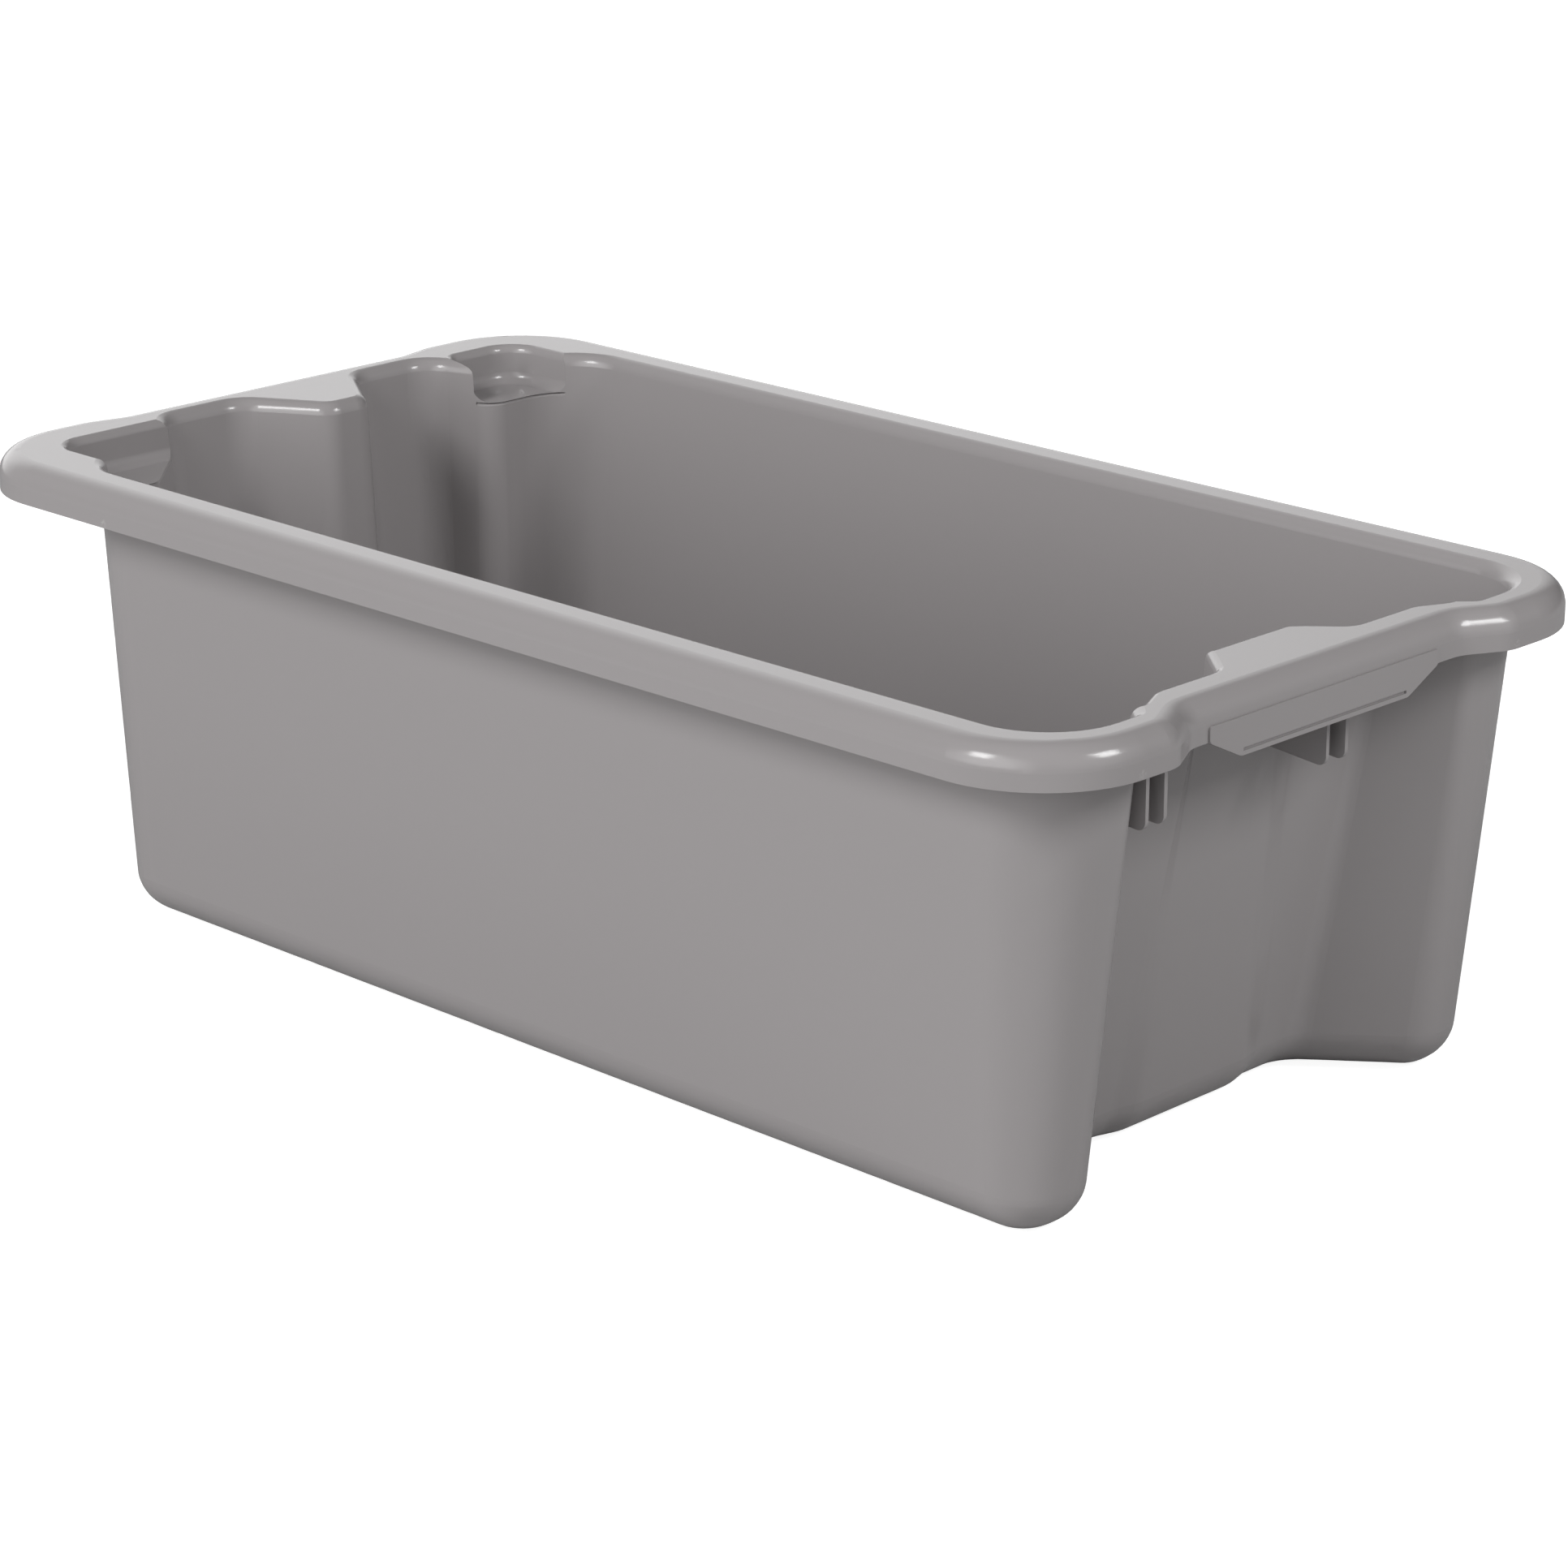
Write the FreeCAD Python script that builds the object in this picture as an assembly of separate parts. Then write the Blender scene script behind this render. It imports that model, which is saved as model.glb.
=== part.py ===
import FreeCAD, Part
import os
from math import acos, cos, hypot, radians, sin, tan

# Stack and nest container: one injection moulding, in millimetres.
# +X runs to the end with the flank pockets, +Y to the far long side, +Z up.
# The origin is the middle of the underside.

# Overall sizes
LENGTH = 520.0
WIDTH = 277.0
HEIGHT = 168.0
WALL = 2.6

# Rolled rim
RIM_CORNER = 41.0
RIM_SKIRT = 13.6
RIM_ROUND = 8.0
MOUTH_ROUND = 4.5

# Handles: the rim steps in at both ends and an apron hangs from the step
GRIP_DEPTH = {"right": 8.5, "left": 4.0}
GRIP_HALF = 66.0
GRIP_BLEND = 16.0
GRIP_ROUND = 14.0
APRON_DROP = 21.0
APRON_NEAR = 43.0
APRON_FAR = 39.0
APRON_TAIL = 15.0
APRON_PROUD = 0.7
APRON_CREASE = 8.6
APRON_ROUND = 5.0
GROOVE_DROP = 18.6
GROOVE_HEIGHT = 1.0
GROOVE_DEPTH = 0.7

# Tub plan on its outer face: each pair is a size at the rim and at the floor
SIDE = (121.8, 111.5)
FOOT_ROUND = 14.5
ROUND_STEPS = 5
KNEE_OUT = (5.0, 15.0)
KNEE_IN = (6.0, 12.0)
BAY_KNEE = (3.0, 15.0)

# Right end: corner feet stand out, flanks and middle lie back
R_CORNER_ROUND = (27.0, 17.0)
R_COLUMN = (246.0, 230.5)
R_FLANK = (225.5, 195.5)
R_MIDDLE = (220.2, 198.6)
R_FOOT_NEAR = (82.0, 85.0)
R_FLANK_NEAR = (62.0, 54.0)
R_BAY_NEAR = (26.0, 34.0)
R_PANEL_NEAR = (20.0, 24.0)
R_PANEL_FAR = (18.0, 30.0)
R_BAY_FAR = (24.0, 40.0)
R_FLANK_FAR = (62.0, 58.0)
R_FOOT_FAR = (82.0, 86.0)

# Left end: corners lie back, two flank feet stand out, the middle bulges in
L_CORNER_ROUND = (26.0, 22.0)
L_COLUMN = (214.5, 212.0)
L_FLANK = (244.4, 229.0)
L_MIDDLE = (213.2, 203.0)
L_COLUMN_FAR = (79.5, 77.0)
L_FOOT_FAR = (72.5, 64.0)
L_BAY_FAR = (34.0, 38.0)
L_BULGE_FAR = (13.0, 13.0)
L_BULGE_NEAR = (2.0, 8.0)
L_BAY_NEAR = (20.0, 32.0)
L_FOOT_NEAR = (56.0, 50.0)
L_COLUMN_NEAR = (86.0, 78.0)
L_KNEE = (15.0, 15.0)
BULGE_ROUND = (6.0, 10.0)

# Stacking pockets, drawn on their inner face
LEDGE_DROP = 14.5
LEDGE_ROUND = 3.0
LEDGE_LEAD = 0.6
POCKET_MOUTH_ROUND = 3.0
POCKET_FLOOR_ROUND = 4.0
POCKET_TURN = 5.0
R_POCKET_FRONT = 200.0
R_POCKET_WING = 216.0
R_POCKET_BACK = 233.8
R_POCKET_IN = (17.0, 33.0)
R_POCKET_OUT = (63.0, 82.0)
R_POCKET_FLARE = 9.0
L_POCKET_FRONT = 200.0
L_POCKET_BACK = 236.6
L_POCKET_SIDE = 110.6
L_POCKET_ROUND = 12.0
L_POCKET_FAR_END = (72.0, 78.0)
L_POCKET_NEAR_END = (50.0, 50.0)

# Gusset ribs that hang below the flank pockets
RIB = 1.5
RIB_REACH = 239.5
RIB_DROP = 41.4
RIB_SLOPE = 2.4
RIB_ROUND = 3.0
RIB_PLACES = (-71.0, -62.5, 15.8, 25.3)

# Underside: the middle of the floor is lifted off the ground and has a gate mark
PAD_RIGHT = 166.0
PAD_LEFT = 172.0
PAD_HALF = 82.0
PAD_ROUND = 14.0
PAD_RAISE = 1.2
GATE_RADIUS = 5.0
GATE_DEPTH = 0.6

EXTRA = 1.0


def minus(pair):
    return (-pair[0], -pair[1])


# Outlines are lists of (x, y, corner radius), counter-clockwise.
# This makes one into a closed wire of lines and arcs at a height.
def outline(corners, z):
    ends = []
    for i, (bx, by, r) in enumerate(corners):
        ax, ay, _ = corners[i - 1]
        cx, cy, _ = corners[(i + 1) % len(corners)]
        to_a, to_c = hypot(ax - bx, ay - by), hypot(cx - bx, cy - by)
        ux, uy = (ax - bx) / to_a, (ay - by) / to_a
        vx, vy = (cx - bx) / to_c, (cy - by) / to_c
        half = acos(max(-1.0, min(1.0, ux * vx + uy * vy))) / 2
        cut = r / tan(half)
        reach = (r / sin(half) - r) / hypot(ux + vx, uy + vy)
        ends.append((
            FreeCAD.Vector(bx + ux * cut, by + uy * cut, z),
            FreeCAD.Vector(bx + (ux + vx) * reach, by + (uy + vy) * reach, z),
            FreeCAD.Vector(bx + vx * cut, by + vy * cut, z),
        ))
    edges = []
    for i, (start, middle, end) in enumerate(ends):
        edges.append(Part.Arc(start, middle, end).toShape())
        edges.append(Part.makeLine(end, ends[(i + 1) % len(ends)][0]))
    return Part.Wire(edges)


# The same outline moved inward by a distance, or outward when it is negative
def inset(corners, by):
    moved = []
    for i, (x, y, r) in enumerate(corners):
        ax, ay, _ = corners[i - 1]
        cx, cy, _ = corners[(i + 1) % len(corners)]
        before, after = hypot(x - ax, y - ay), hypot(cx - x, cy - y)
        px, py = (x - ax) / before, (y - ay) / before
        qx, qy = (cx - x) / after, (cy - y) / after
        turn = px * qy - py * qx
        along = by * ((py - qy) * qy + (px - qx) * qx) / turn
        corner_round = r - by if turn > 0 else r + by
        moved.append((x - py * by + px * along, y + px * by + py * along, corner_round))
    return moved


def prism(corners, z0, z1):
    return Part.Face(outline(corners, z0)).extrude(FreeCAD.Vector(0, 0, z1 - z0))


def level_edges(solid, z):
    return [e for e in solid.Edges if all(abs(v.Z - z) < 1e-4 for v in e.Vertexes)]


# Corners of the tub plan, counter-clockwise from the near right corner
TUB_STATIONS = [
    (R_COLUMN, minus(SIDE), R_CORNER_ROUND),
    (R_COLUMN, minus(R_FOOT_NEAR), KNEE_OUT),
    (R_FLANK, minus(R_FLANK_NEAR), KNEE_IN),
    (R_FLANK, minus(R_BAY_NEAR), BAY_KNEE),
    (R_MIDDLE, minus(R_PANEL_NEAR), BAY_KNEE),
    (R_MIDDLE, R_PANEL_FAR, BAY_KNEE),
    (R_FLANK, R_BAY_FAR, BAY_KNEE),
    (R_FLANK, R_FLANK_FAR, KNEE_IN),
    (R_COLUMN, R_FOOT_FAR, KNEE_OUT),
    (R_COLUMN, SIDE, R_CORNER_ROUND),
    (minus(L_COLUMN), SIDE, L_CORNER_ROUND),
    (minus(L_COLUMN), L_COLUMN_FAR, KNEE_IN),
    (minus(L_FLANK), L_FOOT_FAR, L_KNEE),
    (minus(L_FLANK), L_BAY_FAR, L_KNEE),
    (minus(L_MIDDLE), L_BULGE_FAR, BULGE_ROUND),
    (minus(L_MIDDLE), minus(L_BULGE_NEAR), BULGE_ROUND),
    (minus(L_FLANK), minus(L_BAY_NEAR), L_KNEE),
    (minus(L_FLANK), minus(L_FOOT_NEAR), L_KNEE),
    (minus(L_COLUMN), minus(L_COLUMN_NEAR), KNEE_IN),
    (minus(L_COLUMN), minus(SIDE), L_CORNER_ROUND),
]


def tub_outer(z):
    down = 1 - z / HEIGHT
    return [tuple(rim + (foot - rim) * down for rim, foot in s) for s in TUB_STATIONS]


def tub_inner(z):
    return inset(tub_outer(z), WALL)


# Plan of the rim with the handle step at both ends
def rim_plan():
    hx, hy = LENGTH / 2, WIDTH / 2
    full = GRIP_HALF + GRIP_BLEND
    xr, xl = hx - GRIP_DEPTH["right"], hx - GRIP_DEPTH["left"]
    return [
        (hx, -hy, RIM_CORNER),
        (hx, -full, GRIP_ROUND), (xr, -GRIP_HALF, GRIP_ROUND),
        (xr, GRIP_HALF, GRIP_ROUND), (hx, full, GRIP_ROUND),
        (hx, hy, RIM_CORNER), (-hx, hy, RIM_CORNER),
        (-hx, full, GRIP_ROUND), (-xl, GRIP_HALF, GRIP_ROUND),
        (-xl, -GRIP_HALF, GRIP_ROUND), (-hx, -full, GRIP_ROUND),
        (-hx, -hy, RIM_CORNER),
    ]


def mirrored(plan):
    return [(x, -y, r) for x, y, r in reversed(plan)]


def flank_pocket():
    (in_front, in_back), (out_back, out_front) = R_POCKET_IN, R_POCKET_OUT
    return [
        (R_POCKET_FRONT, in_front, POCKET_TURN),
        (R_POCKET_WING, in_front, POCKET_TURN),
        (R_POCKET_BACK, in_back, POCKET_TURN + 3),
        (R_POCKET_BACK, out_back, 2 * POCKET_TURN),
        (R_POCKET_BACK + R_POCKET_FLARE, out_front, POCKET_TURN + 1),
        (R_POCKET_FRONT, out_front, POCKET_TURN),
    ]


def corner_pocket(end):
    return [
        (-L_POCKET_FRONT, end[0], EXTRA),
        (-L_POCKET_FRONT, L_POCKET_SIDE, EXTRA),
        (-L_POCKET_BACK, L_POCKET_SIDE, L_POCKET_ROUND),
        (-L_POCKET_BACK, end[1], POCKET_TURN + 1),
    ]


# A body that follows a plan, rounded in at the floor and flared at the mouth.
# The flare stops short of flat, so that it crosses the rim top cleanly.
def bowl(plan_at, floor, floor_round, mouth_round):
    foot = []
    for step in range(ROUND_STEPS + 1):
        a = radians(90.0 * step / ROUND_STEPS)
        z = floor + floor_round * (1 - cos(a))
        foot.append(outline(inset(plan_at(z), floor_round * (1 - sin(a))), z))
    solid = Part.makeLoft(foot, True, False)
    low, high = floor + floor_round, HEIGHT
    if mouth_round:
        last = radians(80.0)
        high = HEIGHT - mouth_round * sin(last)
        flare = []
        for step in range(ROUND_STEPS + 1):
            a = last * step / ROUND_STEPS
            z = high + mouth_round * sin(a)
            flare.append(outline(inset(plan_at(z), mouth_round * (cos(a) - 1)), z))
        solid = solid.fuse(Part.makeLoft(flare, True, False))
    wall = Part.makeLoft([outline(plan_at(low), low), outline(plan_at(high), high)], True, True)
    return solid.fuse(wall)


# What is cut away to round the front edge of every ledge
def ledge_lip(z_ledge):
    sections = []
    for step in range(ROUND_STEPS + 1):
        a = radians(25.0 + 55.0 * step / ROUND_STEPS)
        z = z_ledge - LEDGE_ROUND * (1 - sin(a))
        sections.append(outline(inset(tub_inner(z), LEDGE_ROUND * (cos(a) - 1) + LEDGE_LEAD), z))
    return Part.makeLoft(sections, True, False)


def build_rim():
    plan = rim_plan()
    bead = prism(plan, HEIGHT - RIM_SKIRT, HEIGHT)
    bead = bead.makeFillet(RIM_ROUND, level_edges(bead, HEIGHT))
    under = prism(inset(plan, WALL), HEIGHT - RIM_SKIRT - EXTRA, HEIGHT - WALL)
    under = under.makeFillet(RIM_ROUND - WALL, level_edges(under, HEIGHT - WALL))
    return bead.cut(under)


# A band that follows the rim between two insets
def rim_band(outer, inner, z0, z1):
    band = prism(inset(rim_plan(), outer), z0, z1)
    return band.cut(prism(inset(rim_plan(), inner), z0 - EXTRA, z1 + EXTRA))


def build_apron(x0, x1):
    low, crease, skirt = HEIGHT - APRON_DROP, HEIGHT - APRON_CREASE, HEIGHT - RIM_SKIRT
    profile = [
        (-APRON_NEAR - APRON_TAIL, crease, 1), (-APRON_NEAR - APRON_TAIL, skirt, 2),
        (-APRON_NEAR, low, APRON_ROUND), (APRON_FAR, low, APRON_ROUND),
        (APRON_FAR + APRON_TAIL, skirt, 2), (APRON_FAR + APRON_TAIL, crease, 1),
    ]
    wire = outline(profile, 0.0)
    wire.rotate(FreeCAD.Vector(0, 0, 0), FreeCAD.Vector(1, 0, 0), 90)
    wire.rotate(FreeCAD.Vector(0, 0, 0), FreeCAD.Vector(0, 0, 1), 90)
    wire.translate(FreeCAD.Vector(x0, 0, 0))
    slab = Part.Face(wire).extrude(FreeCAD.Vector(x1 - x0, 0, 0))
    apron = rim_band(-APRON_PROUD, WALL, low, crease).common(slab)
    z = HEIGHT - GROOVE_DROP
    groove = rim_band(-2 * GROOVE_DEPTH, APRON_PROUD - GROOVE_DEPTH, z - GROOVE_HEIGHT, z)
    span = Part.makeBox(
        x1 - x0, APRON_NEAR + APRON_FAR - 2 * EXTRA, 2 * GROOVE_HEIGHT + EXTRA,
        FreeCAD.Vector(x0, EXTRA - APRON_NEAR, z - GROOVE_HEIGHT - EXTRA),
    )
    return apron.cut(groove.common(span))


def build_rib(y):
    top, low = HEIGHT - WALL / 2, HEIGHT - RIB_DROP
    root = R_MIDDLE[0] - 3 * WALL
    profile = [
        (root, low + RIB_SLOPE, 0.1), (RIB_REACH, low, RIB_ROUND),
        (RIB_REACH, top, 0.1), (root, top, 0.1),
    ]
    wire = outline(profile, 0.0)
    wire.rotate(FreeCAD.Vector(0, 0, 0), FreeCAD.Vector(1, 0, 0), 90)
    wire.translate(FreeCAD.Vector(0, y + RIB / 2, 0))
    return Part.Face(wire).extrude(FreeCAD.Vector(0, -RIB, 0))


# Solid tub, rim, pocket shells, aprons and ribs, all before hollowing
z_ledge = HEIGHT - LEDGE_DROP
pockets = [
    flank_pocket(), mirrored(flank_pocket()),
    corner_pocket(L_POCKET_FAR_END), mirrored(corner_pocket(L_POCKET_NEAR_END)),
]
added = [build_rim()]
added += [prism(inset(plan, -WALL), z_ledge - WALL, HEIGHT) for plan in pockets]
added += [build_apron(R_POCKET_FRONT, LENGTH), build_apron(-LENGTH, -L_POCKET_FRONT)]
added += [build_rib(y) for y in RIB_PLACES]
shape = bowl(tub_outer, 0.0, FOOT_ROUND, 0.0).fuse(added)

# The inside, with the lifted middle of the floor left standing
void = bowl(tub_inner, WALL, FOOT_ROUND - WALL, MOUTH_ROUND)
void = void.fuse([
    bowl(lambda z, plan=plan: plan, z_ledge, POCKET_FLOOR_ROUND, POCKET_MOUTH_ROUND)
    for plan in pockets
])
pad = [
    (-PAD_LEFT, -PAD_HALF, PAD_ROUND), (PAD_RIGHT, -PAD_HALF, PAD_ROUND),
    (PAD_RIGHT, PAD_HALF, PAD_ROUND), (-PAD_LEFT, PAD_HALF, PAD_ROUND),
]
void = void.cut(prism(inset(pad, -WALL), WALL - EXTRA, WALL + PAD_RAISE))
gate = Part.makeCylinder(GATE_RADIUS, PAD_RAISE + GATE_DEPTH)
shape = shape.cut([void, prism(pad, -EXTRA, PAD_RAISE), gate])

# Rounded front edges of the ledges
lip = ledge_lip(z_ledge)
reach = LEDGE_ROUND + EXTRA
shape = shape.cut([
    lip.common(prism(inset(plan, LEDGE_LEAD / 2), z_ledge - reach, z_ledge + EXTRA))
    for plan in pockets
])
shape = shape.removeSplitter()

os.makedirs("parts", exist_ok=True)
shape.exportStep("parts/container.step")
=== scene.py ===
from math import cos, radians, sin

import bpy
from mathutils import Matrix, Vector


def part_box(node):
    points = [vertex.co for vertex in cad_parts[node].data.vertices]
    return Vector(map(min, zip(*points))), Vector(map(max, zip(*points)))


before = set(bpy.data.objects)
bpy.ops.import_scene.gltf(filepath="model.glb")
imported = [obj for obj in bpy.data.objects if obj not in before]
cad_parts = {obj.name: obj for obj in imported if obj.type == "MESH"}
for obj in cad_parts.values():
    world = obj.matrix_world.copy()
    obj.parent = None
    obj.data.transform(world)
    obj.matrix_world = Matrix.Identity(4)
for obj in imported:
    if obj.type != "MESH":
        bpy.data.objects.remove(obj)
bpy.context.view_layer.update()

# The grey plastic container in a small white studio.
# Lengths are in metres. A bearing is in degrees from +X towards +Y, a rise in degrees
# above level.

WHITE = (1.0, 1.0, 1.0, 1.0)

# Plastic, with its bumps as noise scale, noise detail, strength and depth
GREY = (0.318, 0.302, 0.304, 1.0)
GREY_STRESSED = (0.40, 0.385, 0.385, 1.0)
PLASTIC_ROUGHNESS = 0.18
PLASTIC_IOR = 1.49
GRAIN = (1400.0, 2.0, 0.05, 0.0002)
WAVES = (9.0, 1.0, 0.25, 0.0008)

# Nicks where mould flash was trimmed off: centre and length
NICKS = [
    ((-0.1735, -0.1385, 0.1560), 0.0040),
    ((0.0480, -0.1385, 0.1655), 0.0035),
    ((0.2560, -0.1200, 0.1560), 0.0050),
    ((0.2592, -0.0980, 0.1560), 0.0040),
    ((0.2590, 0.0850, 0.1560), 0.0040),
]
# A nick fades out between these shares of its length, and noise makes it ragged
NICK_FADE = (0.15, 0.5)
NICK_NOISE = (900.0, 3.0)
NICK_RAGGED = (0.42, 0.58)

# Floor: its own colour, and what the camera sees on top of that
FLOOR_SIZE = 8.0
FLOOR_GREY = (0.45, 0.45, 0.45, 1.0)
FLOOR_GLOW = 0.9

# Soft panels round the tub: bearing, rise and strength
PANELS = [
    (-90.0, 12.0, 2.85),
    (150.0, 12.0, 1.4),
    (0.0, 12.0, 0.4),
    (30.0, 12.0, 0.4),
    (180.0, 12.0, 0.35),
]
# A panel fades in between these cosines of the angle to its middle
PANEL_FADE = (0.75, 0.96)

# Soft boxes aimed at the tub: name, bearing, rise and power in watts
BOXES = [("left_box", -96.0, 38.0, 20.0), ("right_box", 15.0, 38.0, 23.0)]
BOX_SIZE = 0.7
BOX_DISTANCE = 2.4

CAMERA_LENS = 107.2
CAMERA_SENSOR = 36.0
CAMERA_PLACE = (1.0803, -1.0873, 0.5828)
CAMERA_TURN = (71.46, 0.0, 44.3)

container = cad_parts["container"]
low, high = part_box("container")
centre = (low + high) / 2


def compass_way(bearing, rise):
    turn, up = radians(bearing), radians(rise)
    return Vector((cos(up) * cos(turn), cos(up) * sin(turn), sin(up)))


# Shader helpers
def new_material(name):
    material = bpy.data.materials.new(name)
    material.use_nodes = True
    material.node_tree.nodes.clear()
    return material


def vector_node(tree, operation, vector, fixed):
    node = tree.nodes.new("ShaderNodeVectorMath")
    node.operation = operation
    node.inputs[1].default_value = fixed
    tree.links.new(vector, node.inputs[0])
    return node.outputs["Value"]


def math_node(tree, operation, a, b):
    node = tree.nodes.new("ShaderNodeMath")
    node.operation = operation
    tree.links.new(a, node.inputs[0])
    tree.links.new(b, node.inputs[1])
    return node.outputs[0]


def chain(tree, operation, values):
    total = values[0]
    for value in values[1:]:
        total = math_node(tree, operation, total, value)
    return total


def map_range(tree, value, span, to_low, to_high):
    node = tree.nodes.new("ShaderNodeMapRange")
    for name, number in zip(("From Min", "From Max", "To Min", "To Max"), (*span, to_low, to_high)):
        node.inputs[name].default_value = number
    tree.links.new(value, node.inputs["Value"])
    return node.outputs["Result"]


def noise(tree, where, scale, detail):
    node = tree.nodes.new("ShaderNodeTexNoise")
    node.inputs["Scale"].default_value = scale
    node.inputs["Detail"].default_value = detail
    tree.links.new(where, node.inputs["Vector"])
    return node.outputs["Fac"]


def bump(tree, where, scale, detail, strength, depth):
    node = tree.nodes.new("ShaderNodeBump")
    node.inputs["Strength"].default_value = strength
    node.inputs["Distance"].default_value = depth
    tree.links.new(noise(tree, where, scale, detail), node.inputs["Height"])
    return node


# The camera sees one shader and all other rays meet the other
def by_camera_ray(tree, seen, met):
    rays = tree.nodes.new("ShaderNodeLightPath")
    pick = tree.nodes.new("ShaderNodeMixShader")
    tree.links.new(rays.outputs["Is Camera Ray"], pick.inputs["Fac"])
    tree.links.new(met, pick.inputs[1])
    tree.links.new(seen, pick.inputs[2])
    return pick.outputs["Shader"]


# Satin polypropylene: fine grain, slightly uneven walls, pale stress at the nicks
def plastic():
    material = new_material("satin_grey_plastic")
    tree = material.node_tree
    nodes, links = tree.nodes, tree.links
    where = nodes.new("ShaderNodeTexCoord").outputs["Object"]

    spots = []
    for place, length in NICKS:
        away = vector_node(tree, "DISTANCE", where, place)
        fade = [share * length for share in NICK_FADE]
        spots.append(map_range(tree, away, fade, 1.0, 0.0))
    ragged = map_range(tree, noise(tree, where, *NICK_NOISE), NICK_RAGGED, 0.0, 1.0)
    pale = math_node(tree, "MULTIPLY", chain(tree, "MAXIMUM", spots), ragged)
    tone = nodes.new("ShaderNodeMix")
    tone.data_type = "RGBA"
    tone.inputs["A"].default_value = GREY
    tone.inputs["B"].default_value = GREY_STRESSED
    links.new(pale, tone.inputs["Factor"])

    grain = bump(tree, where, *GRAIN)
    waves = bump(tree, where, *WAVES)
    links.new(grain.outputs["Normal"], waves.inputs["Normal"])

    shader = nodes.new("ShaderNodeBsdfPrincipled")
    shader.inputs["Roughness"].default_value = PLASTIC_ROUGHNESS
    shader.inputs["IOR"].default_value = PLASTIC_IOR
    links.new(tone.outputs["Result"], shader.inputs["Base Color"])
    links.new(waves.outputs["Normal"], shader.inputs["Normal"])
    output = nodes.new("ShaderNodeOutputMaterial")
    links.new(shader.outputs["BSDF"], output.inputs["Surface"])
    return material


# Grey to all but the camera, which sees it white with the tub's soft shadow
def build_floor():
    bpy.ops.mesh.primitive_plane_add(size=FLOOR_SIZE, location=(centre.x, centre.y, low.z))
    floor = bpy.context.object
    floor.name = "floor"
    material = new_material("white_floor")
    tree = material.node_tree
    nodes, links = tree.nodes, tree.links
    diffuse = nodes.new("ShaderNodeBsdfDiffuse")
    diffuse.inputs["Color"].default_value = FLOOR_GREY
    glow = nodes.new("ShaderNodeEmission")
    glow.inputs["Color"].default_value = WHITE
    glow.inputs["Strength"].default_value = FLOOR_GLOW
    both = nodes.new("ShaderNodeAddShader")
    links.new(diffuse.outputs["BSDF"], both.inputs[0])
    links.new(glow.outputs["Emission"], both.inputs[1])
    output = nodes.new("ShaderNodeOutputMaterial")
    surface = by_camera_ray(tree, both.outputs["Shader"], diffuse.outputs["BSDF"])
    links.new(surface, output.inputs["Surface"])
    floor.data.materials.append(material)


# The camera sees plain white, and the tub is lit by the panels
def build_world():
    world = bpy.data.worlds.new("studio")
    bpy.context.scene.world = world
    world.use_nodes = True
    tree = world.node_tree
    nodes, links = tree.nodes, tree.links
    nodes.clear()
    ray_way = nodes.new("ShaderNodeTexCoord").outputs["Generated"]
    glows = []
    for bearing, rise, strength in PANELS:
        facing = vector_node(tree, "DOT_PRODUCT", ray_way, compass_way(bearing, rise))
        glows.append(map_range(tree, facing, PANEL_FADE, 0.0, strength))

    backdrop = nodes.new("ShaderNodeBackground")
    backdrop.inputs["Color"].default_value = WHITE
    backdrop.inputs["Strength"].default_value = 1.0
    panels = nodes.new("ShaderNodeBackground")
    panels.inputs["Color"].default_value = WHITE
    links.new(chain(tree, "ADD", glows), panels.inputs["Strength"])
    output = nodes.new("ShaderNodeOutputWorld")
    surface = by_camera_ray(tree, backdrop.outputs["Background"], panels.outputs["Background"])
    links.new(surface, output.inputs["Surface"])


def soft_box(name, bearing, rise, power):
    data = bpy.data.lights.new(name, "AREA")
    data.shape = "SQUARE"
    data.size = BOX_SIZE
    data.energy = power
    light = bpy.data.objects.new(name, data)
    way = compass_way(bearing, rise)
    light.location = centre + BOX_DISTANCE * way
    light.rotation_euler = way.to_track_quat("Z", "Y").to_euler()
    bpy.context.scene.collection.objects.link(light)


def build_camera():
    data = bpy.data.cameras.new("camera")
    data.lens = CAMERA_LENS
    data.sensor_width = CAMERA_SENSOR
    camera = bpy.data.objects.new("camera", data)
    camera.location = CAMERA_PLACE
    camera.rotation_euler = [radians(angle) for angle in CAMERA_TURN]
    bpy.context.scene.collection.objects.link(camera)
    bpy.context.scene.camera = camera


container.data.materials.clear()
container.data.materials.append(plastic())
build_floor()
build_world()
for box in BOXES:
    soft_box(*box)
build_camera()
bpy.context.scene.view_settings.view_transform = "Standard"
